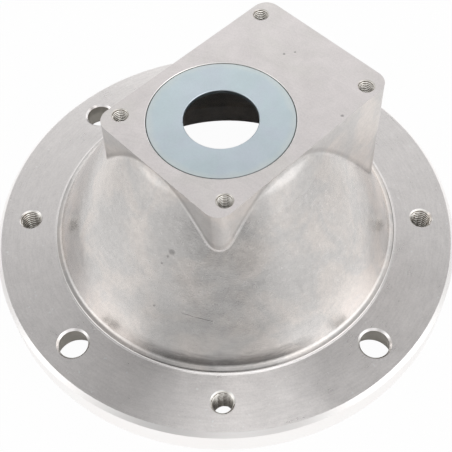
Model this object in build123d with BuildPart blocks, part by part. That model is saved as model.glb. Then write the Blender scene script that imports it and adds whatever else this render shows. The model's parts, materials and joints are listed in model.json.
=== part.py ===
"""Bell housing that carries a gear pump on an electric motor's flange.

The casting stands on its motor flange with the shaft axis along +Z.
The origin is the centre of the motor flange's lower face. X runs along the short side
of the pump's bolt rectangle and Y along its long side, towards the far bolt row.
"""
import os

from build123d import *

# Motor flange
flange_diameter = 250.0
flange_thickness = 18.0
flange_top_chamfer = 2.2
flange_bottom_chamfer = 1.0
motor_hole_count = 4
spigot_depth = 5.0
spigot_chamfer = 1.0

# Distances inwards along the flange: from the rim to the hole circle, from there to the
# spigot and to the collar, and the ledges inside these two
motor_hole_inset = 17.5
spigot_clearance = 17.5
spigot_ledge = 8.0
collar_clearance = 15.1
collar_ledge = 2.2

# Plain fixing holes on the X and Y axes, each with a recess for the bolt head below
fixing_hole_diameter = 15.0
fixing_hole_chamfer = 1.1
fixing_hole_land = 6.0
fixing_recess_diameter = 22.0

# Threaded holes for the motor's bolts, halfway between the plain ones
motor_thread_diameter = 12.0
motor_thread_chamfer = 0.3

# Raised unmachined collar between the flange's machined face and the bell
collar_height = 0.8
collar_fillet = 0.5

# Outside of the conical bell
bell_top_diameter = 86.8
bell_shoulder_drop = 0.5
bell_shoulder_radius = 12.0
bell_base_fillet = 3.0

# Pump pad, a drafted block whose corners stand out of the bell and whose foot ends
# inside the flange
housing_height = 102.5
pad_width = 85.0
pad_length = 118.0
pad_corner_radius = 8.0
pad_draft = 1.0
pad_embedding = 5.0
pad_root_fillet = 2.5

# Threaded holes for the pump: the shaft axis is nearer to one row of them
pump_hole_spacing_x = 71.5
pump_hole_spacing_y = 96.2
pump_near_row = 32.5
pump_thread_diameter = 8.0
pump_thread_depth = 20.0
pump_thread_chamfer = 0.25
drill_tip_height = 2.4
pump_boss_diameter = 17.0
pump_boss_cover = 4.5

# Centring ring for the pump's pilot, let into the pad
ring_diameter = 72.0
ring_bore = 36.5
ring_thickness = 2.5
ring_chamfer = 0.3
ring_seat_clearance = 0.15
ring_recess = 0.3
ring_seat_chamfer = 0.25
ring_ledge = 5.0

# Inside of the casting
bell_wall = 9.0
pad_thickness = 16.0
cavity_fillet = 6.0
pocket_width = 48.0
pocket_end_wall = 9.0
pocket_corner_radius = 8.0

# Sizes and places that follow from the ones above
motor_pitch_diameter = flange_diameter - 2 * motor_hole_inset
spigot_diameter = motor_pitch_diameter - 2 * spigot_clearance
flange_bore_diameter = spigot_diameter - 2 * spigot_ledge
collar_diameter = motor_pitch_diameter - 2 * collar_clearance
bell_base_diameter = collar_diameter - 2 * collar_ledge
pump_centre_y = pump_hole_spacing_y / 2 - pump_near_row
collar_top = flange_thickness + collar_height
bell_top = housing_height - bell_shoulder_drop
pad_foot = flange_thickness - pad_embedding
pad_underside = housing_height - pad_thickness
ring_seat = housing_height - ring_recess - ring_thickness
ring_seat_radius = ring_diameter / 2 + ring_seat_clearance
pocket_end = pump_centre_y + pad_length / 2 - pocket_end_wall
boss_floor = housing_height - pump_thread_depth - pump_boss_cover


def cone_radius(height):
    """Outer radius of the bell's straight cone at a height above the motor face."""
    share = (height - collar_top) / (bell_top - collar_top)
    return (bell_base_diameter + (bell_top_diameter - bell_base_diameter) * share) / 2


# Hollow of the casting: a cone under the bell and a pocket under the pad's far end,
# less the bosses of the pump's bolts, which stay standing in it
with BuildPart() as cavity:
    with BuildSketch(Plane.XZ) as cavity_profile:
        with BuildLine():
            Polyline(
                (0, 0),
                (flange_bore_diameter / 2, 0),
                (flange_bore_diameter / 2, flange_thickness),
                (cone_radius(pad_underside) - bell_wall, pad_underside),
                (0, pad_underside),
                close=True,
            )
        make_face()
        fillet(cavity_profile.vertices().group_by(Axis.Y)[-1].sort_by(Axis.X)[-1], cavity_fillet)
    revolve(axis=Axis.Z)
    with BuildSketch(Plane.XY.offset(flange_thickness)):
        with Locations((0, pocket_end / 2)):
            RectangleRounded(pocket_width, pocket_end, pocket_corner_radius)
    extrude(amount=pad_underside - flange_thickness)
    with BuildSketch(Plane.XY.offset(boss_floor)):
        with Locations((0, pump_centre_y)):
            with GridLocations(pump_hole_spacing_x, pump_hole_spacing_y, 2, 2):
                Circle(pump_boss_diameter / 2)
    extrude(amount=housing_height - boss_floor, mode=Mode.SUBTRACT)

with BuildPart() as housing:
    # Flange, collar and bell, turned in one profile
    with BuildSketch(Plane.XZ) as outer_profile:
        with BuildLine():
            Polyline(
                (0, 0),
                (flange_diameter / 2, 0),
                (flange_diameter / 2, flange_thickness),
                (collar_diameter / 2, flange_thickness),
                (collar_diameter / 2, collar_top),
                (bell_base_diameter / 2, collar_top),
                (bell_top_diameter / 2, bell_top),
                (0, bell_top),
                close=True,
            )
        make_face()
        shoulder = outer_profile.vertices().sort_by_distance((bell_top_diameter / 2, bell_top))[0]
        fillet(shoulder, bell_shoulder_radius)
        bell_foot = outer_profile.vertices().sort_by_distance((bell_base_diameter / 2, collar_top))[0]
        fillet(bell_foot, bell_base_fillet)
        collar_foot = outer_profile.vertices().sort_by_distance((collar_diameter / 2, flange_thickness))[0]
        fillet(collar_foot, collar_fillet)
        rim_top = outer_profile.vertices().sort_by_distance((flange_diameter / 2, flange_thickness))[0]
        chamfer(rim_top, flange_top_chamfer)
        rim_bottom = outer_profile.vertices().sort_by_distance((flange_diameter / 2, 0))[0]
        chamfer(rim_bottom, flange_bottom_chamfer)
    revolve(axis=Axis.Z)

    # Pump pad with its root blended into the bell
    with BuildSketch(Plane.XY.offset(housing_height)):
        with Locations((0, pump_centre_y)):
            RectangleRounded(pad_width, pad_length, pad_corner_radius)
    extrude(amount=pad_foot - housing_height, taper=-pad_draft)
    fillet(housing.edges(Select.NEW), pad_root_fillet)

    # Hollow inside, the motor's spigot recess and the bore under the centring ring
    add(cavity.part, mode=Mode.SUBTRACT)
    with BuildSketch(Plane.XY):
        Circle(spigot_diameter / 2)
    extrude(amount=spigot_depth, mode=Mode.SUBTRACT)
    spigot_mouth = housing.edges().filter_by(GeomType.CIRCLE).group_by(Axis.Z)[0].sort_by(SortBy.RADIUS)[0]
    chamfer(spigot_mouth, spigot_chamfer)
    with BuildSketch(Plane.XY.offset(pad_underside - cavity_fillet)):
        Circle(ring_diameter / 2 - ring_ledge)
    extrude(amount=housing_height, mode=Mode.SUBTRACT)
    with BuildSketch(Plane.XY.offset(ring_seat)):
        Circle(ring_seat_radius)
    extrude(amount=ring_recess + ring_thickness, mode=Mode.SUBTRACT)
    pad_top_circles = housing.edges().filter_by(GeomType.CIRCLE).group_by(Axis.Z)[-1]
    chamfer(pad_top_circles.sort_by(SortBy.RADIUS)[-1], ring_seat_chamfer)

    # Plain fixing holes, recessed from below
    with Locations((0, 0, flange_thickness)):
        with PolarLocations(motor_pitch_diameter / 2, motor_hole_count):
            CounterSinkHole(
                fixing_hole_diameter / 2,
                fixing_hole_diameter / 2 + fixing_hole_chamfer,
                depth=flange_thickness,
                counter_sink_angle=90,
            )
    with BuildSketch(Plane.XY):
        with PolarLocations(motor_pitch_diameter / 2, motor_hole_count):
            Circle(fixing_recess_diameter / 2)
    extrude(amount=flange_thickness - fixing_hole_land, mode=Mode.SUBTRACT)

    # Threaded holes for the motor, right through the flange, at the thread's outer diameter
    with Locations((0, 0, flange_thickness)):
        with PolarLocations(motor_pitch_diameter / 2, motor_hole_count, start_angle=180 / motor_hole_count):
            CounterSinkHole(
                motor_thread_diameter / 2,
                motor_thread_diameter / 2 + motor_thread_chamfer,
                depth=flange_thickness,
                counter_sink_angle=90,
            )

    # Blind threaded holes for the pump, each with the drill's cone at its end
    with Locations((0, pump_centre_y, housing_height)):
        with GridLocations(pump_hole_spacing_x, pump_hole_spacing_y, 2, 2):
            CounterSinkHole(
                pump_thread_diameter / 2,
                pump_thread_diameter / 2 + pump_thread_chamfer,
                depth=pump_thread_depth,
                counter_sink_angle=90,
            )
    with Locations((0, pump_centre_y, housing_height - pump_thread_depth)):
        with GridLocations(pump_hole_spacing_x, pump_hole_spacing_y, 2, 2):
            Cone(
                pump_thread_diameter / 2,
                0,
                drill_tip_height,
                rotation=(180, 0, 0),
                align=(Align.CENTER, Align.CENTER, Align.MIN),
                mode=Mode.SUBTRACT,
            )

housing.part.label = "housing"

# Flat steel ring that centres the pump's pilot on the shaft axis
with BuildPart() as centring_ring:
    with BuildSketch(Plane.XY.offset(ring_seat)):
        Circle(ring_diameter / 2)
        Circle(ring_bore / 2, mode=Mode.SUBTRACT)
    extrude(amount=ring_thickness)
    chamfer(centring_ring.edges().filter_by(GeomType.CIRCLE), ring_chamfer)

centring_ring.part.label = "centring_ring"

os.makedirs("parts", exist_ok=True)
export_step(housing.part, "parts/housing.step")
export_step(centring_ring.part, "parts/centring_ring.step")
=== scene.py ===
"""Dresses the pump bell housing: its finishes, its screw threads and the stage it is shown on.

The solids come from the frame and stay as they are. The casting gets one finish for each way
its surfaces were made, the centring ring gets its plating, and the threads are added as ridges
in the threaded holes. Lengths are in metres and angles in degrees.
"""
import functools
import json
import math

import bpy
import numpy as np
from bpy.props import FloatProperty, FloatVectorProperty, IntProperty, PointerProperty
from mathutils import Matrix, Vector


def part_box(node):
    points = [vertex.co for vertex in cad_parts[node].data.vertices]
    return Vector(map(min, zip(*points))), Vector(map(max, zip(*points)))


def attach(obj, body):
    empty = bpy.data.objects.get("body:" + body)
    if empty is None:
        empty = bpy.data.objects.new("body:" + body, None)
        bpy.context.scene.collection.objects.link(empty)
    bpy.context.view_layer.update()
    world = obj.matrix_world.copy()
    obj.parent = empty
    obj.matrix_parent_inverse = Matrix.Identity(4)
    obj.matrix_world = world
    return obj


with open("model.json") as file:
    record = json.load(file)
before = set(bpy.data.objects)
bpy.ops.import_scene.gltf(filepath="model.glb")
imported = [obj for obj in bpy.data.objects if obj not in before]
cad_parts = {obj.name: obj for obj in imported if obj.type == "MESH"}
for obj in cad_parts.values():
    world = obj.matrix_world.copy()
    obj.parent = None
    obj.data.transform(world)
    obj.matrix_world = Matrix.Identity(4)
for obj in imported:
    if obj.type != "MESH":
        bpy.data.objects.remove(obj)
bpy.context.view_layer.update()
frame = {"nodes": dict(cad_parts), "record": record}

bl_info = {
    "name": "Pump bell housing",
    "version": (1, 0, 0),
    "blender": (4, 5, 0),
    "location": "3D View > Sidebar > Bell housing",
    "description": "Finishes, screw threads and stage of a cast bell housing with its centring ring",
    "category": "Object",
}

MM = 0.001
PHOTO_WIDTH = 452
# Azimuths of the painted shades on the casting, from the X axis. The camera stands at -42.6 degrees.
CAMERA_SIDE = -45
LITTLE_LEFT = -50.6
LEFT_SIDE = -57.6
RIGHT_SIDE = 42
# Middle and radius of each pit in the bell and in the pad, and both ends of the bell's scratch
BELL_PITS = (
    ((0.0232, -0.0557, 0.0720), 0.0021),
    ((0.0222, -0.0576, 0.0695), 0.0009),
    ((0.0208, -0.0606, 0.0652), 0.0009),
    ((0.0252, -0.0720, 0.0440), 0.0010),
)
PAD_PITS = (
    ((-0.0077, 0.0515, 0.1025), 0.0009),
    ((-0.0047, 0.0563, 0.1025), 0.0007),
    ((0.0400, 0.0413, 0.1025), 0.0010),
)
BELL_SCRATCH = ((0.0378, -0.0655, 0.0446), (0.0513, -0.0572, 0.0427))
SCRATCH_WIDTH = 0.0005
# Point that the milling cutter's arcs on the pad run round
CUTTER_MIDDLE = (0.055, -0.16, 0.1025)
# Upward part of a face's normal, up or down, past which the face counts as level
LEVEL = 0.99
# Allowance for rounding where a face is told by its place
SLACK = 0.0002
# Order of the finishes in the casting's list of materials
CAST, TURNED, RIM, MILLED, BORED = range(5)

mounts = {mount["name"]: mount for mount in frame["record"]["mounts"]}
housing_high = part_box("housing")[1]
ring_low, ring_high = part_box("centring_ring")


def length_setting(name, description, default):
    """Property that holds a length."""
    return FloatProperty(name=name, description=description, default=default, unit="LENGTH", precision=5)


def share_setting(name, description, default):
    """Property that holds a share or a roughness, from 0 to 1."""
    return FloatProperty(name=name, description=description, default=default, min=0, max=1)


def colour_setting(name, description, default):
    """Property that holds a colour."""
    return FloatVectorProperty(
        name=name, description=description, default=default, subtype="COLOR", size=3, min=0, max=1
    )


def place_setting(name, description, default):
    """Property that holds a point."""
    return FloatVectorProperty(
        name=name, description=description, default=default, subtype="TRANSLATION", size=3
    )


def number_setting(name, description, default):
    """Property that holds any other number: a brightness where 1 is white, degrees or pixels."""
    return FloatProperty(name=name, description=description, default=default)


class HousingSizes(bpy.types.PropertyGroup):
    """Sizes that tell the housing's surfaces apart and place its holes."""

    flange_top: length_setting("Flange top", "Height of the turned face that the collar stands on", 0.018)
    collar_radius: length_setting(
        "Collar radius", "Outer radius of the raised collar, where the turned face begins", 0.0924
    )
    collar_step: length_setting(
        "Collar step", "Width of the rounded step from the turned face up to the collar", 0.0006
    )
    cone_reach: length_setting(
        "Cone reach", "Radius that the bell's cone would have at the motor's face", 0.100775
    )
    cone_slope: number_setting(
        "Cone slope", "How much the cone's radius goes down for one unit of height", 0.5625
    )
    pad_near_end: length_setting("Pad's near end", "Place along Y of the pad's near short edge", -0.0434)
    rim_chamfer: length_setting(
        "Rim chamfer", "Width of the chamfer round the top of the flange's rim", 0.0022
    )
    spigot_radius: length_setting(
        "Spigot radius",
        "Radius of the recess that takes the motor's spigot",
        mounts["motor_spigot"]["dims"]["r_mm"] * MM,
    )
    spigot_depth: length_setting(
        "Spigot depth", "Depth of the recess that takes the motor's spigot", 0.005
    )
    spigot_margin: length_setting(
        "Spigot margin", "Width outside the spigot's radius that holds the recess's chamfer", 0.0015
    )
    seat_margin: length_setting(
        "Seat margin", "Width outside the centring ring that holds its seat's wall and chamfer", 0.001
    )
    seat_chamfer: length_setting(
        "Seat chamfer", "Depth under the pad's face of the chamfer round the centring ring", 0.0003
    )
    seat_bore_radius: length_setting(
        "Bore radius under the ring", "Radius of the bored hole that the centring ring covers", 0.031
    )
    seat_bore_depth: length_setting("Bored depth", "Depth of bored metal under the pad's face", 0.016)
    hole_circle: length_setting(
        "Hole circle",
        "Radius of the circle that all eight flange holes lie on",
        mounts["motor_threads"]["dims"]["pcd_mm"] / 2 * MM,
    )
    hole_zone: length_setting(
        "Hole zone", "Radius round a flange hole's centre within which its walls lie", 0.0116
    )
    hole_chamfer: length_setting(
        "Hole chamfer", "Depth under the flange's face that holds the chamfer of a hole", 0.0013
    )
    pump_hole_zone: length_setting(
        "Pump hole zone", "Radius round a pump hole's centre within which its walls lie", 0.0046
    )
    pump_hole_depth: length_setting(
        "Pump hole depth", "Depth under the pad's face that holds a pump hole and its drilled cone", 0.024
    )


class ThreadSizes(bpy.types.PropertyGroup):
    """Sizes of the screw threads."""

    motor_start: length_setting(
        "Motor thread start", "Depth under the flange's face at which the motor thread starts", 0.0003
    )
    motor_end: length_setting("Motor thread end", "Height at which the motor thread ends", 0.0001)
    motor_pitch: length_setting(
        "Motor thread pitch", "Rise of the motor screws' thread in one turn", 0.00175
    )
    motor_crest: length_setting(
        "Motor thread crest", "Radius at the inner edge of the motor screws' thread", 0.0051
    )
    # The faces deeper than this share take the dark colour of dirt with painted shade
    motor_deep: share_setting(
        "Motor thread, dark from", "Share of the thread's depth at which its dark bottom begins", 0.42
    )
    pump_start: length_setting(
        "Pump thread start", "Depth under the pad's face at which the pump thread starts", 0.00025
    )
    pump_depth: length_setting("Pump thread depth", "Length of the pump screws' thread", 0.017)
    pump_pitch: length_setting(
        "Pump thread pitch", "Rise of the pump screws' thread in one turn", 0.00125
    )
    pump_crest: length_setting(
        "Pump thread crest", "Radius at the inner edge of the pump screws' thread", 0.00335
    )
    # The faces deeper than this share take the dark colour of dirt with painted shade
    pump_deep: share_setting(
        "Pump thread, dark from", "Share of the thread's depth at which its dark bottom begins", 0.54
    )
    run_in: length_setting(
        "Run-in", "Depth over which the turns run out into the hole's chamfered mouth", 0.0007
    )
    root_gap: length_setting(
        "Root gap", "Metal left between the thread's deepest line and the hole's wall", 0.00006
    )
    wall_gap: length_setting(
        "Wall gap", "Gap between the hole's wall and the back of the thread's sleeve", 0.00002
    )
    bright_margin: length_setting(
        "Bright margin", "Width outside the mouth's cone in which no face is dark", 0.0002
    )
    ridge_peak: number_setting(
        "Ridge peak", "Peak of a ridge's triangle wave before it is cut flat at 1", 1.25
    )
    ridge_fall: number_setting("Ridge fall", "Fall of a ridge's triangle wave in one pitch", 3.2)
    steps_round: IntProperty(
        name="Steps round", description="Facets round one turn of a thread", default=48, min=12
    )
    steps_per_turn: IntProperty(
        name="Steps per turn", description="Facets along one pitch of a thread", default=12, min=6
    )


class FinishColours(bpy.types.PropertyGroup):
    """Colours and roughness of the finishes."""

    cast_warm: colour_setting(
        "Cast, warm patches", "Warm patches of the tumbled casting", (0.765, 0.722, 0.691)
    )
    cast_cool: colour_setting(
        "Cast, cool patches", "Grey patches of the tumbled casting", (0.737, 0.717, 0.703)
    )
    turned: colour_setting("Turned face", "Bare aluminium of the flange", (0.904, 0.873, 0.861))
    milled: colour_setting("Milled face", "Bare aluminium of the pump pad", (0.797, 0.757, 0.752))
    stained: colour_setting("Milled face, stains", "Weak stains on the pump pad", (0.758, 0.730, 0.712))
    bored: colour_setting(
        "Holes", "Aluminium in the drilled and bored holes, browned a little by oil", (0.68, 0.65, 0.60)
    )
    # Lighter than the holes' metal: a painted highlight on the thread crests
    thread_crest_painted_highlight: colour_setting(
        "Thread crests", "Bright metal on the ridges of the threads", (0.97, 0.94, 0.89)
    )
    # Dirt with painted shade at the bottom of the threads
    thread_root_dirt_and_shade: colour_setting("Thread roots", "Dark bottom of the threads", (0.20, 0.16, 0.12))
    plated: colour_setting("Zinc plating", "Pale blue plating of the centring ring", (0.63, 0.72, 0.77))
    plated_edge: colour_setting(
        "Zinc plating, edge", "Paler, greener plating towards the ring's outer edge", (0.71, 0.76, 0.75)
    )
    cast_roughness: share_setting("Cast roughness", "Roughness of the tumbled casting", 0.26)
    foot_roughness: share_setting(
        "Foot roughness", "Roughness of the bell's lowest part, which the tumbling polished most", 0.25
    )
    skirt_roughness: share_setting(
        "Skirt roughness", "Roughness of the pad's cast sides, where they stand out of the bell", 0.45
    )
    shoulder_roughness: share_setting(
        "Shoulder roughness", "Roughness of the bell's rounded shoulder under the pad", 0.42
    )
    collar_roughness: share_setting(
        "Collar roughness", "Roughness of the collar and the fillet above it, left as cast", 0.42
    )
    turned_roughness: share_setting(
        "Turned roughness", "Roughness across the grooves of the turned flange", 0.29
    )
    rim_roughness: share_setting("Rim roughness", "Roughness of the turned rim and the chamfers", 0.3)
    milled_roughness: share_setting("Milled roughness", "Roughness of the milled pad", 0.48)
    bored_roughness: share_setting("Hole roughness", "Roughness of hole walls and thread crests", 0.3)
    root_roughness: share_setting("Root roughness", "Roughness of the bottom of the threads", 0.5)
    plated_roughness: share_setting("Plating roughness", "Roughness of the centring ring", 0.38)


class StageSettings(bpy.types.PropertyGroup):
    """Camera, floor and light."""

    camera_place: place_setting("Camera place", "Where the camera stands", (0.20663, -0.18975, 0.42744))
    camera_target: place_setting(
        "Camera target", "Point that the camera looks at", (-0.0028, 0.00321, 0.018)
    )
    camera_roll: number_setting(
        "Camera roll", "Turn of the camera about its line of sight, in degrees", -2.15
    )
    focal_pixels: number_setting(
        "Focal length in pixels", "Focal length in widths of one pixel of the photograph", 899.7
    )
    centre_x: number_setting(
        "Optical centre across", "Column of the photograph that the camera's axis meets", 225.55
    )
    centre_y: number_setting(
        "Optical centre down", "Row of the photograph that the camera's axis meets", 212.3
    )
    floor_colour: colour_setting("Floor", "Colour of the floor", (0.9, 0.9, 0.9))
    floor_half_width: length_setting(
        "Floor half width", "Distance from the middle of the floor to its edges", 3.0
    )
    floor_drop: length_setting("Floor drop", "Gap between the housing and the floor", 0.0002)
    floor_white: share_setting(
        "Floor white", "Share of pure white that the camera sees; the rest keeps the shadow", 0.97
    )
    near_glow: share_setting(
        "Near glow", "Share of the floor's white that the metal mirrors close by", 0.92
    )
    near_start: length_setting(
        "Near glow start", "Distance from the axis up to which the near glow holds", 0.2
    )
    near_end: length_setting("Near glow end", "Distance from the axis at which it ends", 0.25)
    side_glow: share_setting(
        "Side glow", "Share of the floor's white that the metal mirrors far out at the sides", 0.52
    )
    side_start: length_setting(
        "Side glow start", "Distance from the axis up to which the side glow holds", 0.36
    )
    side_end: length_setting("Side glow end", "Distance from the axis at which it ends", 0.5)
    side_azimuth: number_setting(
        "Side glow azimuth", "Angle from the camera's side to the middle of a side glow", 70
    )
    side_tightness: number_setting(
        "Side glow tightness", "Power of the cosine with which a side glow falls off", 14
    )
    hole_glow: share_setting(
        "Hole glow", "Share of the floor's white that the metal mirrors under the flange's holes", 0.1
    )
    hole_glow_start: length_setting(
        "Hole glow start", "Distance from the axis inside which mirrored rays see no white floor", 0.097
    )
    back_level: number_setting("Back level", "Brightness of the studio behind the housing", 1.84)
    front_level: number_setting("Front level", "Brightness of the studio behind the camera", 0.26)
    left_box: number_setting(
        "Left soft box", "Brightness at the middle of the soft box to the left", 1.42
    )
    right_box: number_setting(
        "Right soft box", "Brightness at the middle of the soft box to the right", 1.32
    )
    left_glow: number_setting(
        "Left glow", "Brightness of the low glow between the camera and the left soft box", 0.42
    )
    right_glow: number_setting(
        "Right glow", "Brightness of the low glow between the camera and the right soft box", 0.73
    )
    back_left_glow: number_setting(
        "Back left glow", "Brightness of the low glow behind the left soft box", 0.3
    )
    back_right_glow: number_setting(
        "Back right glow", "Brightness of the low glow behind the right soft box", 0.5
    )
    high_left_glow: number_setting(
        "High left glow", "Brightness of the wide glow high up on the left", 0.62
    )
    high_right_glow: number_setting(
        "High right glow", "Brightness of the wide glow high up on the right", 1.42
    )
    front_glow: number_setting("Front glow", "Brightness of the glow under the camera", 0.71)
    lamp_watts: number_setting(
        "Lamp power", "Power of the large soft lamp over the housing, in watts", 2.5
    )
    lamp_azimuth: number_setting("Lamp azimuth", "Angle of the lamp to the right of the camera", 5)
    lamp_elevation: number_setting("Lamp elevation", "Angle of the lamp above the horizon", 80)
    lamp_distance: length_setting("Lamp distance", "Distance of the lamp from the housing", 1.4)
    lamp_width: length_setting("Lamp width", "Width of the lamp's square face", 0.7)


class Wire:
    """One output in a node tree. Arithmetic on it adds Math nodes to the tree."""

    def __init__(self, graph, socket):
        self.graph = graph
        self.socket = socket

    def _math(self, operation, *values):
        return self.graph.add("ShaderNodeMath", {"operation": operation}, dict(enumerate(values)))

    def __add__(self, other):
        return self._math("ADD", self, other)

    def __radd__(self, other):
        return self._math("ADD", other, self)

    def __sub__(self, other):
        return self._math("SUBTRACT", self, other)

    def __rsub__(self, other):
        return self._math("SUBTRACT", other, self)

    def __mul__(self, other):
        return self._math("MULTIPLY", self, other)

    def __rmul__(self, other):
        return self._math("MULTIPLY", other, self)

    def __truediv__(self, other):
        return self._math("DIVIDE", self, other)

    def __pow__(self, other):
        return self._math("POWER", self, other)

    def above(self, other):
        """1 where this is more than the other, else 0."""
        return self._math("GREATER_THAN", self, other)

    def larger(self, other):
        """The larger of the two."""
        return self._math("MAXIMUM", self, other)

    def root(self):
        """Square root."""
        return self._math("SQRT", self)

    def fade(self, low, high):
        """0 at low, 1 at high, and a smooth curve between them; low may be the larger."""
        flip = low > high
        bounds = {"From Min": min(low, high), "From Max": max(low, high)}
        bounds.update({"To Min": 1.0, "To Max": 0.0} if flip else {"To Min": 0.0, "To Max": 1.0})
        return self.graph.add(
            "ShaderNodeMapRange", {"interpolation_type": "SMOOTHSTEP"}, {"Value": self, **bounds}
        )

    def beside(self, out):
        """Another output of the same node."""
        return Wire(self.graph, self.socket.node.outputs[out])


class Graph:
    """The node tree of a material or world, emptied and filled by one method."""

    def __init__(self, tree):
        self.tree = tree
        tree.nodes.clear()

    def add(self, kind, settings=None, sockets=None, out=0):
        """Adds a node, sets it up, fills or links its inputs and gives one output, if it has any."""
        node = self.tree.nodes.new(kind)
        for name, value in (settings or {}).items():
            setattr(node, name, value)
        for key, value in (sockets or {}).items():
            if isinstance(value, Wire):
                self.tree.links.new(value.socket, node.inputs[key])
            else:
                node.inputs[key].default_value = value
        return Wire(self, node.outputs[out]) if len(node.outputs) else None

    def parts(self, vector):
        """The three parts of a vector."""
        x = self.add("ShaderNodeSeparateXYZ", sockets={0: vector})
        return x, x.beside(1), x.beside(2)

    def point(self, x, y, z):
        """A vector from three numbers or wires."""
        return self.add("ShaderNodeCombineXYZ", sockets={0: x, 1: y, 2: z})

    def place(self):
        """The shaded point in the object's own coordinates."""
        return self.add("ShaderNodeTexCoord", out="Object")

    def noise(self, vector, scale, detail=2.0, roughness=0.5, distortion=0.0):
        """Cloudy noise about one half."""
        return self.add(
            "ShaderNodeTexNoise",
            {"noise_dimensions": "3D"},
            {
                "Vector": vector,
                "Scale": scale,
                "Detail": detail,
                "Roughness": roughness,
                "Distortion": distortion,
            },
        )

    def mix(self, share, first, second):
        """The first colour where the share is 0 and the second where it is 1."""
        # Inputs 6 and 7 of the node are its two colours, and output 2 is the mixed one
        first, second = (end if isinstance(end, Wire) else (*end, 1.0) for end in (first, second))
        return self.add("ShaderNodeMix", {"data_type": "RGBA"}, {0: share, 6: first, 7: second}, out=2)

    def scaled(self, colour, factor):
        """A colour made lighter or darker by a number or wire."""
        return self.add("ShaderNodeVectorMath", {"operation": "SCALE"}, {0: colour, "Scale": factor})

    def along(self, vector, direction):
        """How far a vector reaches in a fixed direction."""
        return self.add(
            "ShaderNodeVectorMath", {"operation": "DOT_PRODUCT"}, {0: vector, 1: direction}, out="Value"
        )

    def lobe(self, direction, middle, tightness):
        """1 towards the middle, falling off as a power of the cosine of the angle to it."""
        return self.along(direction, middle).larger(0.0) ** tightness

    def distance_to(self, vector, spot):
        """Distance from the shaded point to a fixed spot."""
        return self.add(
            "ShaderNodeVectorMath", {"operation": "DISTANCE"}, {0: vector, 1: spot}, out="Value"
        )

    def bump(self, height, depth, strength=1.0, normal=None):
        """A normal tilted by a height that runs from 0 to 1 over the given depth."""
        sockets = {"Strength": strength, "Distance": depth, "Height": height}
        if normal is not None:
            sockets["Normal"] = normal
        return self.add("ShaderNodeBump", sockets=sockets)

    def metal(self, colour, roughness, normal=None, constants=None):
        """A bare metal surface joined to the output. The constants go straight onto the shader."""
        sockets = {"Base Color": colour, "Metallic": 1.0, "Roughness": roughness, **(constants or {})}
        if normal is not None:
            sockets["Normal"] = normal
        shader = self.add("ShaderNodeBsdfPrincipled", sockets=sockets)
        self.add("ShaderNodeOutputMaterial", sockets={"Surface": shader})


def new_graph(name, colour):
    """A material of that name, with an empty node tree and its colour in the viewport."""
    material = bpy.data.materials.new(name)
    material.use_nodes = True
    material.diffuse_color = (*colour, 1.0)
    return material, Graph(material.node_tree)


def axis_distance(x, y):
    """Distance from the shaft's axis: the root of the sum of both squares."""
    return (x * x + y * y).root()


def pits(graph, place, spots):
    """1 in small round pits with ragged edges, at the given middles and radii, and 0 elsewhere."""
    ragged = (graph.noise(place, 900.0) - 0.5) * 0.0008
    masks = [
        (graph.distance_to(place, middle) + ragged).fade(radius, radius * 0.4) for middle, radius in spots
    ]
    return functools.reduce(Wire.larger, masks)


def scratch(graph, place, start, end, width):
    """1 along a fine straight scratch: the point's distances to both ends add up to its length."""
    length = (Vector(end) - Vector(start)).length
    detour = graph.distance_to(place, start) + graph.distance_to(place, end) - length
    return detour.fade(2 * width * width / length, 0.0)


class CastSpot:
    """Where on the casting the shaded point lies, with masks that are 1 in a zone and 0 outside.

    Most zones are told by one of three distances: outwards from the bell's cone, up from
    the flange's face and inwards from the collar's edge.
    """

    def __init__(self, graph, sizes):
        self.place = graph.place()
        x, y, z = graph.parts(self.place)
        radius = axis_distance(x, y).larger(0.001)
        outside_cone = radius + z * sizes.cone_slope - sizes.cone_reach
        around_crease = outside_cone.fade(-0.0003, 0.0005) * outside_cone.fade(0.003, 0.0012)
        self.height = z
        self.cosine = x / radius
        self.sine = y / radius
        self.above_flange = z - sizes.flange_top
        self.inside_collar = sizes.collar_radius - radius
        self.bell = outside_cone.fade(-0.001, -0.0003)
        self.skirt = outside_cone.fade(0.0, 0.0014)
        self.crease = around_crease * self.above_flange.fade(0.004, 0.012)
        self.pad_end = (y - sizes.pad_near_end).fade(0.0012, 0.0002)
        self.shoulder = (housing_high[2] - z).fade(0.0165, 0.0065)
        self.foot = self.above_flange.fade(0.024, 0.008)
        self.collar = self.inside_collar.fade(0.0034, 0.0022)
        self.ledge = self.inside_collar.fade(0.0024, 0.0016)

    def sector(self, azimuth, full, reach):
        """1 within the full angle of an azimuth round the shaft's axis, and 0 past its reach.

        The cosine of the angle between two azimuths is the product of their cosines plus
        that of their sines, and it fades between the cosines of the two limits.
        """
        middle = math.radians(azimuth)
        facing = self.cosine * math.cos(middle) + self.sine * math.sin(middle)
        return facing.fade(math.cos(math.radians(reach)), math.cos(math.radians(full)))


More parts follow.
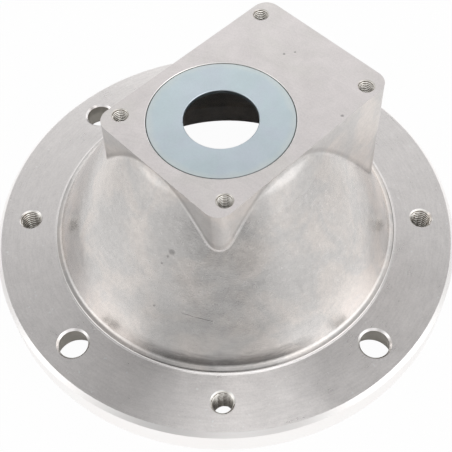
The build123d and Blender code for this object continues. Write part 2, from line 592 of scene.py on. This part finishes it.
def painted_shade_masks(spot, wisps):
    """Masks of painted shade on the casting, each with the share of light that it takes.

    They are painted shade in the crease round the pad's sides and on the collar's outer ledge,
    a painted dark reflection with a blotchy upper edge above the foot on the camera's side, a
    wider and fainter painted shade there, painted shade on the pad's near end, and a painted
    shadow along the collar's edge to the left and the right.
    """
    # Painted dark reflection above the foot on the camera's side, with a blotchy upper edge
    reflection_top = (spot.above_flange + (wisps - 0.5) * 0.006).fade(0.0095, 0.0025)
    painted_dark_reflection = spot.sector(CAMERA_SIDE, 14.4, 34.9) * reflection_top * (1.0 - spot.collar) * spot.bell
    # Wider and fainter painted shade above the foot
    shade = spot.sector(LITTLE_LEFT, 10, 30) * spot.above_flange.fade(0.047, 0.008) * spot.bell
    # Painted shade on the pad's near end
    near_end = spot.skirt * spot.pad_end.larger(spot.sector(LEFT_SIDE, 10, 15.2) * 0.5)
    # Painted shadow along the collar's edge to the left and the right
    shaded_sides = spot.sector(LEFT_SIDE, 8.1, 20).larger(spot.sector(RIGHT_SIDE, 10, 19.1) * 0.8)
    painted_edge_shade = shaded_sides * spot.inside_collar.fade(0.0007, 0.0004)
    # The crease and the ledge are painted shade as well
    return (
        (spot.crease, 0.16),
        (spot.ledge, 0.2),
        (painted_dark_reflection, 0.64),
        (shade, 0.3),
        (near_end, 0.18),
        (painted_edge_shade, 0.5),
    )


def cast_finish(colours, sizes):
    """Tumbled casting: grainy and mottled, with warm and cool patches, faint wisps and pits.

    The tumbling reached three places less, and they are duller: the pad's sides, where they
    stand out of the cone, the bell's shoulder, and the collar with the fillet above it. The
    bell's foot is painted lighter, a painted reflection, and painted shade darkens a few places
    above the foot, round the pad and at the collar.
    """
    material, graph = new_graph("cast_aluminium_skin", colours.cast_warm)
    spot = CastSpot(graph, sizes)
    round_bell = graph.point(spot.cosine * 7.0, spot.sine * 7.0, spot.height * 420.0)
    wisps = graph.noise(round_bell, 1.0, detail=4.0, roughness=0.65, distortion=0.8)
    patches = graph.noise(spot.place, 42.0, detail=4.0, roughness=0.55, distortion=0.6)
    mottle = graph.noise(spot.place, 380.0, detail=3.0, roughness=0.6)
    grain = graph.noise(spot.place, 1500.0, detail=3.0, roughness=0.6)
    waves = graph.noise(spot.place, 32.0)
    holes = pits(graph, spot.place, BELL_PITS)
    mark = scratch(graph, spot.place, *BELL_SCRATCH, SCRATCH_WIDTH)

    warm = patches.fade(0.38, 0.62)
    tint = graph.mix(warm, colours.cast_cool, colours.cast_warm)
    light = 1.0 + (mottle - 0.5) * 0.26 + (grain - 0.5) * 0.30 + (warm - 0.5) * 0.09
    light = light + (wisps.fade(0.34, 0.66) - 0.5) * 0.05 * (1.0 - spot.skirt)
    # Painted reflection: the bell's foot is painted lighter
    light = light * (1.0 + spot.foot * 0.2)
    # The first masks darken the colour with painted shade; the pits and the scratch are real marks
    for mask, share in (*painted_shade_masks(spot, wisps), (holes, 0.34), (mark, 0.35)):
        light = light * (1.0 - mask * share)

    even = colours.cast_roughness
    rough = even + (mottle - 0.5) * 0.08 + (wisps - 0.5) * 0.05
    rough = rough + spot.foot * (colours.foot_roughness - even)
    dull = spot.skirt * (colours.skirt_roughness - even)
    dull = dull.larger(spot.shoulder * (colours.shoulder_roughness - even))
    dull = dull.larger(spot.collar * (colours.collar_roughness - even))

    relief = graph.bump(waves, 0.0009, 1.0)
    height = grain * 0.4 + mottle * 0.48 + wisps * 0.12 - holes * 0.5 - mark * 0.3
    normal = graph.bump(height, 0.00022, 0.35, relief)
    graph.metal(graph.scaled(tint, light), rough + dull, normal)
    return material


def turned_finish(colours, sizes):
    """Turned face: fine round grooves, which draw reflections out along the radius.

    The shader's own tangent already runs round the Z axis, so its anisotropy needs no more
    than a quarter turn. A low lip lies along the foot of the collar's step.
    """
    material, graph = new_graph("turned_aluminium", colours.turned)
    place = graph.place()
    x, y = graph.parts(place)[:2]
    radius = axis_distance(x, y)
    grooves = graph.noise(graph.point(radius, 0.0, 0.0), 2600.0)
    round_axis = graph.point(x / radius * 14.0, y / radius * 14.0, radius * 900.0)
    scuffs = graph.noise(round_axis, 1.0, detail=3.0, roughness=0.6)
    clouds = graph.noise(place, 55.0, detail=5.0, roughness=0.65, distortion=0.5)
    grain = graph.noise(place, 1300.0, detail=3.0, roughness=0.6)
    specks = graph.noise(place, 480.0).fade(0.68, 0.76)
    light = 1.0 + (grooves - 0.5) * 0.12 + (scuffs - 0.5) * 0.24 + (clouds - 0.5) * 0.26
    light = light + (grain - 0.5) * 0.26 + specks * 0.16
    rough = colours.turned_roughness + (clouds - 0.5) * 0.08 + (scuffs - 0.5) * 0.05
    lip = graph.bump((radius - sizes.collar_radius).fade(0.0013, 0.0005), 0.0003, 1.0)
    normal = graph.bump(grooves + scuffs * 0.3, 0.00004, 0.3, lip)
    constants = {"Anisotropic": 0.95, "Anisotropic Rotation": 0.25}
    graph.metal(graph.scaled(colours.turned, light), rough, normal, constants)
    return material


def rim_finish(colours):
    """Rim, chamfers and the collar's step, turned smooth, in a lighter copy of the turned colour that
    paints a highlight along these edges.
    """
    material, graph = new_graph("turned_aluminium_rim", colours.turned)
    place = graph.place()
    height = graph.parts(place)[2]
    grooves = graph.noise(graph.point(0.0, 0.0, height), 2200.0)
    clouds = graph.noise(place, 60.0, detail=3.0)
    # Lighter than the turned face: a painted highlight
    light = 1.12 + (grooves - 0.5) * 0.06 + (clouds - 0.5) * 0.06
    rough = colours.rim_roughness + (clouds - 0.5) * 0.05
    graph.metal(graph.scaled(colours.turned, light), rough, graph.bump(grooves, 0.00003, 0.3))
    return material


def milled_finish(colours):
    """Milled pad: faint arcs from the cutter, a dull sheen, weak stains and a few pinholes."""
    material, graph = new_graph("milled_aluminium", colours.milled)
    place = graph.place()
    sweep = graph.distance_to(place, CUTTER_MIDDLE)
    arcs = graph.noise(graph.point(sweep, 0.0, 0.0), 700.0, detail=3.0, roughness=0.55)
    clouds = graph.noise(place, 70.0, detail=5.0, roughness=0.6, distortion=0.6)
    grain = graph.noise(place, 1300.0)
    stains = graph.noise(place, 26.0, detail=5.0, roughness=0.6, distortion=0.9)
    holes = pits(graph, place, PAD_PITS)
    tint = graph.mix(stains.fade(0.42, 0.68), colours.milled, colours.stained)
    light = 1.0 + (arcs - 0.5) * 0.10 + (clouds - 0.5) * 0.28 + (grain - 0.5) * 0.18
    light = light * (1.0 - holes * 0.45)
    rough = colours.milled_roughness + (clouds - 0.5) * 0.12
    height = arcs * 0.6 + grain * 0.4 - holes
    graph.metal(graph.scaled(tint, light), rough, graph.bump(height, 0.00006, 0.5))
    return material


def bored_finish(name, colour, roughness):
    """Walls of the drilled and bored holes and crests of the threads, with rings from the tool."""
    material, graph = new_graph(name, colour)
    place = graph.place()
    height = graph.parts(place)[2]
    rings = graph.noise(graph.point(0.0, 0.0, height), 1500.0)
    clouds = graph.noise(place, 180.0, detail=3.0, roughness=0.6)
    light = 1.0 + (rings - 0.5) * 0.14 + (clouds - 0.5) * 0.10
    rough = roughness + (clouds - 0.5) * 0.1
    graph.metal(graph.scaled(colour, light), rough, graph.bump(rings, 0.00005, 0.4))
    return material


def root_dirt_and_shade_finish(colours):
    """Bottom of the threads, dark from chips and oil and from painted shade."""
    material, graph = new_graph("thread_root_dirt_and_shade", colours.thread_root_dirt_and_shade)
    clouds = graph.noise(graph.place(), 300.0, detail=3.0, roughness=0.6)
    light = 1.0 + (clouds - 0.5) * 0.5
    graph.metal(graph.scaled(colours.thread_root_dirt_and_shade, light), colours.root_roughness)
    return material


def plated_finish(colours):
    """Zinc plating: pale blue with faint lilac and green clouds, paler outside, with painted shade along
    its outer edge in front.
    """
    material, graph = new_graph("zinc_plating", colours.plated)
    place = graph.place()
    x, y = graph.parts(place)[:2]
    inside_edge = ring_high[0] - axis_distance(x, y)
    clouds = graph.noise(place, 40.0, detail=3.0, roughness=0.55, distortion=0.5)
    patches = graph.noise(place, 95.0, detail=4.0, roughness=0.6)
    grain = graph.noise(place, 1200.0, detail=3.0, roughness=0.6)
    lilac = tuple(part * tone for part, tone in zip(colours.plated, (1.015, 0.99, 1.01)))
    green = tuple(part * tone for part, tone in zip(colours.plated, (0.99, 1.01, 0.995)))
    border = (inside_edge - (patches - 0.5) * 0.006).fade(0.0045, 0.0005)
    tint = graph.mix(clouds.fade(0.36, 0.64), lilac, green)
    tint = graph.mix(border * 0.6, tint, colours.plated_edge)
    # Painted shade along the ring's outer edge on the camera's side
    painted_edge_shade = inside_edge.fade(0.0006, 0.0002) * (x - y).fade(-0.045, 0.0)
    light = (1.0 + (patches - 0.5) * 0.16 + (grain - 0.5) * 0.10) * (1.0 - painted_edge_shade * 0.75)
    rough = colours.plated_roughness + (patches - 0.5) * 0.08
    normal = graph.bump(grain * 0.5 + patches * 0.5, 0.00006, 0.4)
    graph.metal(graph.scaled(tint, light), rough, normal)
    return material


def flange_hole_centres(sizes):
    """Centres of the eight flange holes, every eighth of a turn from the X axis."""
    angles = np.arange(8) * math.pi / 4
    return np.column_stack((np.cos(angles), np.sin(angles))) * sizes.hole_circle


def pump_hole_centres():
    """Centres of the four pump holes, from the record's rectangle."""
    mount = mounts["pump_threads"]
    half_x = mount["dims"]["spacing_x_mm"] / 2 * MM
    half_y = mount["dims"]["spacing_y_mm"] / 2 * MM
    middle = np.array(mount["pos_m"][:2])
    return middle + np.array([(-half_x, -half_y), (half_x, -half_y), (half_x, half_y), (-half_x, half_y)])


def near_any(points, centres, reach):
    """Which points, seen from above, lie within reach of any of the centres."""
    gaps = points[:, None, :2] - centres[None, :, :]
    return (np.hypot(gaps[..., 0], gaps[..., 1]) < reach).any(axis=1)


def face_middles(mesh):
    """Middle and normal of every face, as two arrays."""
    count = len(mesh.polygons)
    middles = np.empty(count * 3, np.float32)
    normals = np.empty(count * 3, np.float32)
    mesh.polygons.foreach_get("center", middles)
    mesh.polygons.foreach_get("normal", normals)
    return middles.reshape(-1, 3), normals.reshape(-1, 3)


def sort_faces(mesh, sizes):
    """Finish of every face of the casting, told by the face's place and slope.

    All faces start as cast, and each line takes over the faces of one machined surface.
    """
    middles, normals = face_middles(mesh)
    height = middles[:, 2]
    radius = np.hypot(middles[:, 0], middles[:, 1])
    level = np.abs(normals[:, 2]) > LEVEL
    pad_top = housing_high[2]
    finish = np.full(len(middles), CAST, np.int32)

    # Turned face, spigot recess, collar's step, rim and underside
    beyond_collar = radius > sizes.collar_radius - SLACK
    finish[beyond_collar & (height < sizes.flange_top + SLACK)] = TURNED
    in_spigot = radius < sizes.spigot_radius + sizes.spigot_margin
    finish[in_spigot & (height < sizes.spigot_depth + SLACK)] = TURNED
    step = beyond_collar & (radius < sizes.collar_radius + sizes.collar_step)
    finish[step & ~level & (height > sizes.flange_top - SLACK)] = RIM
    finish[radius > housing_high[0] - sizes.rim_chamfer - SLACK] = RIM
    finish[(height < SLACK) & level] = TURNED

    # Pad's face, the ring's seat with its chamfer, and the bore below it
    finish[(height > pad_top - SLACK) & level] = MILLED
    in_seat = radius < ring_high[0] + sizes.seat_margin
    finish[in_seat & (height > ring_low[2] - SLACK)] = BORED
    finish[in_seat & ~level & (height > pad_top - sizes.seat_chamfer)] = RIM
    bore = np.abs(radius - sizes.seat_bore_radius) < SLACK
    finish[bore & (height > pad_top - sizes.seat_bore_depth)] = BORED

    # Flange holes with their chamfers, and pump holes
    flange_holes = near_any(middles, flange_hole_centres(sizes), sizes.hole_zone)
    walls = ~level | (height < sizes.flange_top - SLACK)
    finish[flange_holes & walls & (height > SLACK)] = BORED
    finish[flange_holes & ~level & (height > sizes.flange_top - sizes.hole_chamfer)] = RIM
    pump_holes = near_any(middles, pump_hole_centres(), sizes.pump_hole_zone)
    pump_walls = ~level | (height < pad_top - SLACK)
    finish[pump_holes & pump_walls & (height > pad_top - sizes.pump_hole_depth)] = BORED
    return finish


def upright_rings(centre, radius, turns, heights):
    """Points at a radius from an upright line, each at its share of a turn and its height."""
    angle = 2 * math.pi * turns
    x = centre[0] + radius * np.cos(angle)
    y = centre[1] + radius * np.sin(angle)
    return np.stack((x, y, heights), axis=-1)


def ridge_sleeve(threads, centre, top, bottom, outer, crest, pitch, deep):
    """One thread as a thin closed sleeve that lines its hole.

    The inner wall's radius at a turn t and height z is the root's radius less the ridge's
    depth times a triangle wave of (z / pitch - t), cut flat at its crest and root. It is
    never less than the mouth, a cone that opens over the run-in at the top. The outer wall
    is a plain cylinder just inside the hole's wall. Given are the corners, the faces, and
    which faces lie deep between the ridges and clear of the mouth.
    """
    root = outer - threads.root_gap
    depth = root - crest
    steps = threads.steps_round

    def mouth(z):
        """Radius of the opening cone at a height."""
        return crest + depth * np.clip((z - (top - threads.run_in)) / threads.run_in, 0.0, 1.0)

    rows = int(round((top - bottom) / pitch * threads.steps_per_turn)) + 1
    heights = np.linspace(top, bottom, rows)
    turns = np.arange(steps) / steps
    z, t = np.meshgrid(heights, turns, indexing="ij")
    from_crest = np.abs((z / pitch - t) % 1.0 - 0.5)
    wave = np.clip(threads.ridge_peak - threads.ridge_fall * from_crest, 0.0, 1.0)
    inner = upright_rings(centre, np.maximum(root - depth * wave, mouth(z)), t, z)
    z, t = np.meshgrid(heights[[-1, 0]], turns, indexing="ij")
    outside = upright_rings(centre, outer - threads.wall_gap, t, z)
    loop = np.concatenate((inner, outside))

    row = np.arange(len(loop))[:, None]
    column = np.arange(steps)[None, :]
    row_next = (row + 1) % len(loop)
    column_next = (column + 1) % steps
    corners = (
        row * steps + column,
        row_next * steps + column,
        row_next * steps + column_next,
        row * steps + column_next,
    )
    faces = np.stack(np.broadcast_arrays(*corners), axis=-1).reshape(-1, 4)
    points = loop.reshape(-1, 3)
    middles = points[faces].mean(axis=1)
    reach = np.hypot(middles[:, 0] - centre[0], middles[:, 1] - centre[1])
    clear_of_mouth = mouth(middles[:, 2]) + threads.bright_margin
    return points, faces, reach > np.maximum(crest + depth * deep, clear_of_mouth)


def mesh_piece(name, vertices, faces, materials, indices):
    """A smooth object with its place in its mesh, which rides on the housing's body."""
    mesh = bpy.data.meshes.new(name)
    mesh.from_pydata(vertices.tolist(), [], faces.tolist())
    mesh.update()
    for material in materials:
        mesh.materials.append(material)
    mesh.polygons.foreach_set("material_index", indices.astype(np.int32))
    mesh.polygons.foreach_set("use_smooth", np.ones(len(mesh.polygons), bool))
    mesh.validate()
    piece = bpy.data.objects.new(name, mesh)
    bpy.context.scene.collection.objects.link(piece)
    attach(piece, "root")


def thread_piece(name, centres, **shape):
    """The same thread in each of several holes, as one piece. Both pieces share their finishes."""
    scene = bpy.context.scene
    colours = scene.bell_colours
    sleeves = [ridge_sleeve(scene.bell_threads, centre, **shape) for centre in centres]
    starts = np.cumsum([0] + [len(points) for points, faces, roots in sleeves[:-1]])
    vertices = np.concatenate([points for points, faces, roots in sleeves])
    faces = np.concatenate([sleeve[1] + start for sleeve, start in zip(sleeves, starts)])
    roots = np.concatenate([sleeve[2] for sleeve in sleeves])
    # The crests get a light colour, a painted highlight, and the deep faces a dark one, dirt with painted
    # shade
    bright = bpy.data.materials.get("thread_crest_painted_highlight") or bored_finish(
        "thread_crest_painted_highlight", colours.thread_crest_painted_highlight, colours.bored_roughness
    )
    dark = bpy.data.materials.get("thread_root_dirt_and_shade") or root_dirt_and_shade_finish(colours)
    mesh_piece(name, vertices, faces, (bright, dark), roots)


class FinishCasting(bpy.types.Operator):
    """Gives each surface of the casting the finish it was made with"""

    bl_idname = "bell_housing.finish_casting"
    bl_label = "Finish the casting"

    def execute(self, context):
        sizes = context.scene.bell_sizes
        colours = context.scene.bell_colours
        finishes = {
            CAST: cast_finish(colours, sizes),
            TURNED: turned_finish(colours, sizes),
            RIM: rim_finish(colours),
            MILLED: milled_finish(colours),
            BORED: bored_finish("bored_aluminium", colours.bored, colours.bored_roughness),
        }
        mesh = frame["nodes"]["housing"].data
        mesh.materials.clear()
        for index in sorted(finishes):
            mesh.materials.append(finishes[index])
        mesh.polygons.foreach_set("material_index", sort_faces(mesh, sizes))
        mesh.update()
        return {"FINISHED"}


class FinishRing(bpy.types.Operator):
    """Gives the centring ring its zinc plating"""

    bl_idname = "bell_housing.finish_ring"
    bl_label = "Finish the centring ring"

    def execute(self, context):
        mesh = frame["nodes"]["centring_ring"].data
        mesh.materials.clear()
        mesh.materials.append(plated_finish(context.scene.bell_colours))
        return {"FINISHED"}


class CutMotorThreads(bpy.types.Operator):
    """Adds the threads of the four motor screws, which run right through the flange"""

    bl_idname = "bell_housing.motor_threads"
    bl_label = "Cut the motor threads"

    def execute(self, context):
        sizes = context.scene.bell_sizes
        threads = context.scene.bell_threads
        thread_piece(
            "motor_threads",
            flange_hole_centres(sizes)[1::2],
            top=sizes.flange_top - threads.motor_start,
            bottom=threads.motor_end,
            outer=mounts["motor_threads"]["dims"]["hole_r_mm"] * MM,
            crest=threads.motor_crest,
            pitch=threads.motor_pitch,
            deep=threads.motor_deep,
        )
        return {"FINISHED"}


class CutPumpThreads(bpy.types.Operator):
    """Adds the threads of the four pump screws, in the blind holes of the pad"""

    bl_idname = "bell_housing.pump_threads"
    bl_label = "Cut the pump threads"

    def execute(self, context):
        threads = context.scene.bell_threads
        top = housing_high[2] - threads.pump_start
        thread_piece(
            "pump_threads",
            pump_hole_centres(),
            top=top,
            bottom=top - threads.pump_depth,
            outer=mounts["pump_threads"]["dims"]["hole_r_mm"] * MM,
            crest=threads.pump_crest,
            pitch=threads.pump_pitch,
            deep=threads.pump_deep,
        )
        return {"FINISHED"}


def camera_axes(stage):
    """Right, up and back of the camera: the line of sight to its target, turned by its roll."""
    back = (Vector(stage.camera_place) - Vector(stage.camera_target)).normalized()
    right = Vector((0, 0, 1)).cross(back).normalized()
    up = back.cross(right)
    roll = math.radians(stage.camera_roll)
    return (
        right * math.cos(roll) + up * math.sin(roll),
        up * math.cos(roll) - right * math.sin(roll),
        back,
    )


def add_camera(stage):
    """A camera at the photograph's viewpoint, with its optical centre as the shift."""
    data = bpy.data.cameras.new("photo_camera")
    data.lens = stage.focal_pixels * data.sensor_width / PHOTO_WIDTH
    data.shift_x = (PHOTO_WIDTH / 2 - stage.centre_x) / PHOTO_WIDTH
    data.shift_y = (stage.centre_y - PHOTO_WIDTH / 2) / PHOTO_WIDTH
    data.clip_start = 0.01
    data.clip_end = 50.0
    camera = bpy.data.objects.new("photo_camera", data)
    axes = Matrix(camera_axes(stage)).transposed().to_4x4()
    camera.matrix_world = Matrix.Translation(Vector(stage.camera_place)) @ axes
    bpy.context.scene.collection.objects.link(camera)
    bpy.context.scene.camera = camera


def seen_from_camera(stage, azimuth, elevation):
    """Direction from the axis, as angles to the right of the camera's side and above the horizon."""
    front = Vector(stage.camera_place)
    front.z = 0
    front.normalize()
    right = Vector((0, 0, 1)).cross(front)
    turn = math.radians(azimuth)
    rise = math.radians(elevation)
    level = front * math.cos(turn) + right * math.sin(turn)
    return level * math.cos(rise) + Vector((0, 0, math.sin(rise)))


def add_floor(stage):
    """A plain pale floor that shows white to the camera and keeps a little of the shadow.

    Mirrored rays see that white as well: below the flange's holes and close to the housing
    all round, and further out at the camera's left and right, but not under the bell.
    """
    material, graph = new_graph("pale_floor", stage.floor_colour)
    place = graph.place()
    x, y = graph.parts(place)[:2]
    radius = axis_distance(x, y)
    outwards = graph.add("ShaderNodeVectorMath", {"operation": "NORMALIZE"}, {0: place})
    left, right = (
        graph.lobe(outwards, seen_from_camera(stage, azimuth, 0), stage.side_tightness)
        for azimuth in (-stage.side_azimuth, stage.side_azimuth)
    )
    far = (left + right) * radius.fade(stage.side_end, stage.side_start) * stage.side_glow
    around = far + radius.fade(stage.near_end, stage.near_start) * (stage.near_glow - far)
    beyond_rim = radius.above(housing_high[0])
    below_holes = radius.above(stage.hole_glow_start) * (1.0 - beyond_rim) * stage.hole_glow
    seen = graph.add("ShaderNodeLightPath", out="Is Camera Ray")
    mirrored = seen.beside("Is Glossy Ray").larger(seen.beside("Is Transmission Ray"))
    share = (seen * stage.floor_white).larger(mirrored * (beyond_rim * around + below_holes))
    dull = graph.add("ShaderNodeBsdfDiffuse", sockets={"Color": (*stage.floor_colour, 1.0)})
    white = graph.add("ShaderNodeEmission", sockets={"Color": (1, 1, 1, 1), "Strength": 1.0})
    surface = graph.add("ShaderNodeMixShader", sockets={0: share, 1: dull, 2: white})
    graph.add("ShaderNodeOutputMaterial", sockets={"Surface": surface})

    half = stage.floor_half_width
    drop = -stage.floor_drop
    corners = [(-half, -half, drop), (half, -half, drop), (half, half, drop), (-half, half, drop)]
    mesh = bpy.data.meshes.new("floor")
    mesh.from_pydata(corners, [], [(0, 1, 2, 3)])
    mesh.materials.append(material)
    floor = bpy.data.objects.new("floor", mesh)
    bpy.context.scene.collection.objects.link(floor)


def light_studio(stage):
    """Soft light from all round, with a bright back, soft boxes at the sides and low glows.

    The back and the front share the square of the direction's part towards them, and each
    box or glow is a lobe. The camera itself sees plain white.
    """
    world = bpy.data.worlds.new("soft_studio")
    world.use_nodes = True
    graph = Graph(world.node_tree)
    direction = graph.add("ShaderNodeTexCoord", out="Generated")
    front = graph.along(direction, seen_from_camera(stage, 0, 0))
    level = front * front * (stage.back_level + front.above(0.0) * (stage.front_level - stage.back_level))
    glows = (
        (-80, 15, 14, stage.left_box),
        (80, 15, 14, stage.right_box),
        (-45, 3, 20, stage.left_glow),
        (45, 3, 20, stage.right_glow),
        (-120, 20, 14, stage.back_left_glow),
        (120, 20, 14, stage.back_right_glow),
        (-55, 45, 8, stage.high_left_glow),
        (55, 45, 8, stage.high_right_glow),
        (0, 29, 24, stage.front_glow),
    )
    for azimuth, elevation, tightness, brightness in glows:
        middle = seen_from_camera(stage, azimuth, elevation)
        level = level + graph.lobe(direction, middle, tightness) * brightness
    seen = graph.add("ShaderNodeLightPath", out="Is Camera Ray")
    level = level + (1.0 - level) * seen
    shine = graph.add("ShaderNodeBackground", sockets={"Color": (1, 1, 1, 1), "Strength": level})
    graph.add("ShaderNodeOutputWorld", sockets={"Surface": shine})
    bpy.context.scene.world = world


def add_lamp(stage):
    """A large soft lamp high over the housing, turned to it."""
    data = bpy.data.lights.new("overhead_lamp", "AREA")
    data.shape = "SQUARE"
    data.size = stage.lamp_width
    data.energy = stage.lamp_watts
    lamp = bpy.data.objects.new("overhead_lamp", data)
    away = seen_from_camera(stage, stage.lamp_azimuth, stage.lamp_elevation)
    lamp.location = away * stage.lamp_distance
    lamp.rotation_euler = away.to_track_quat("Z", "Y").to_euler()
    bpy.context.scene.collection.objects.link(lamp)


class SetStage(bpy.types.Operator):
    """Adds the camera of the photograph, the floor, the soft studio light and the lamp"""

    bl_idname = "bell_housing.set_stage"
    bl_label = "Set the stage"

    def execute(self, context):
        stage = context.scene.bell_stage
        add_camera(stage)
        add_floor(stage)
        light_studio(stage)
        add_lamp(stage)
        context.scene.view_settings.view_transform = "Standard"
        return {"FINISHED"}


class BellHousingPanel(bpy.types.Panel):
    """Lists the steps that dress the housing, and their settings"""

    bl_idname = "VIEW3D_PT_bell_housing"
    bl_label = "Pump bell housing"
    bl_space_type = "VIEW_3D"
    bl_region_type = "UI"
    bl_category = "Bell housing"

    def draw(self, context):
        column = self.layout.column()
        for step in STEPS:
            column.operator(step.bl_idname)
        for name, group in GROUPS.items():
            box = self.layout.box()
            for setting in group.__annotations__:
                box.prop(getattr(context.scene, name), setting)


STEPS = (FinishCasting, FinishRing, CutMotorThreads, CutPumpThreads, SetStage)
GROUPS = {
    "bell_sizes": HousingSizes,
    "bell_threads": ThreadSizes,
    "bell_colours": FinishColours,
    "bell_stage": StageSettings,
}


def register():
    """Registers the groups, the steps and the panel."""
    for name, group in GROUPS.items():
        bpy.utils.register_class(group)
        setattr(bpy.types.Scene, name, PointerProperty(type=group))
    for step in STEPS:
        bpy.utils.register_class(step)
    bpy.utils.register_class(BellHousingPanel)


def unregister():
    """Takes back what register did."""
    bpy.utils.unregister_class(BellHousingPanel)
    for step in reversed(STEPS):
        bpy.utils.unregister_class(step)
    for name, group in reversed(GROUPS.items()):
        delattr(bpy.types.Scene, name)
        bpy.utils.unregister_class(group)


def main():
    """Runs the steps in order."""
    register()
    bpy.ops.bell_housing.finish_casting()
    bpy.ops.bell_housing.finish_ring()
    bpy.ops.bell_housing.motor_threads()
    bpy.ops.bell_housing.pump_threads()
    bpy.ops.bell_housing.set_stage()


if __name__ == "__main__":
    main()
